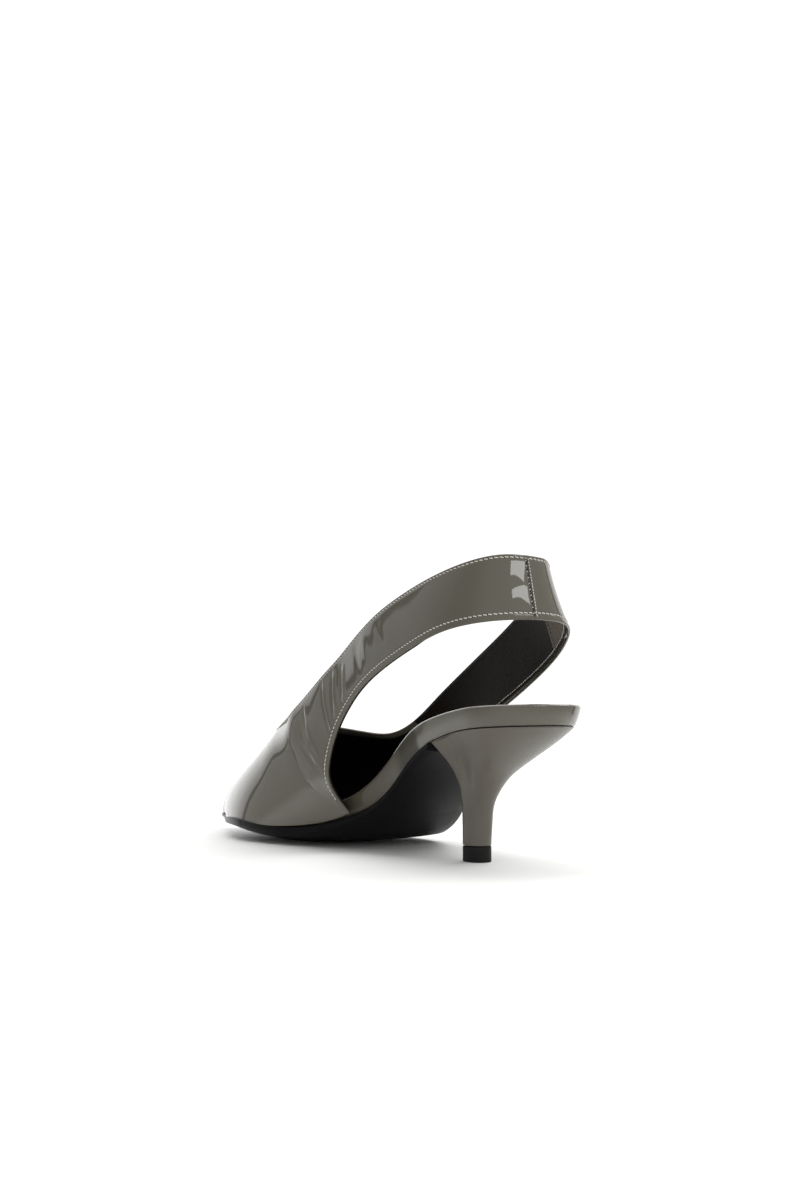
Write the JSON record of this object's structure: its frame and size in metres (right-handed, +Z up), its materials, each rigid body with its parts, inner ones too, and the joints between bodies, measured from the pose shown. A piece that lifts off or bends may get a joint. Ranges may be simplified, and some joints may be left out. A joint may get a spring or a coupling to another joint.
{
  "type": "slingback pump",
  "caption": "Right pointed-toe slingback pump in patent leather with a wide sling strap, open waist, covered kitten heel and leather sole.",
  "frame": {"origin": "centre of the shoe's bounding box on the floor", "axes": "+Z up, toe along -Y, inner (big toe) side along +X"},
  "size_m": [0.0777, 0.254, 0.114],
  "materials": {
    "patent_leather": "high gloss patent, olive grey",
    "patent_leather_rand": "high gloss patent, olive grey, wrapped over the board",
    "patent_leather_heel": "high gloss patent, olive grey, stretched over the heel block",
    "black_sock_leather": "smooth matt lining leather",
    "black_sole_leather": "dyed and waxed, semi-gloss",
    "black_rubber": "matt"
  },
  "bodies": {
    "root": {"upper": "patent_leather", "insole_board": "patent_leather_rand", "insole_sock": "black_sock_leather", "outsole": "black_sole_leather", "heel": "patent_leather_heel", "heel_tip": "black_rubber"}
  },
  "joints": []
}
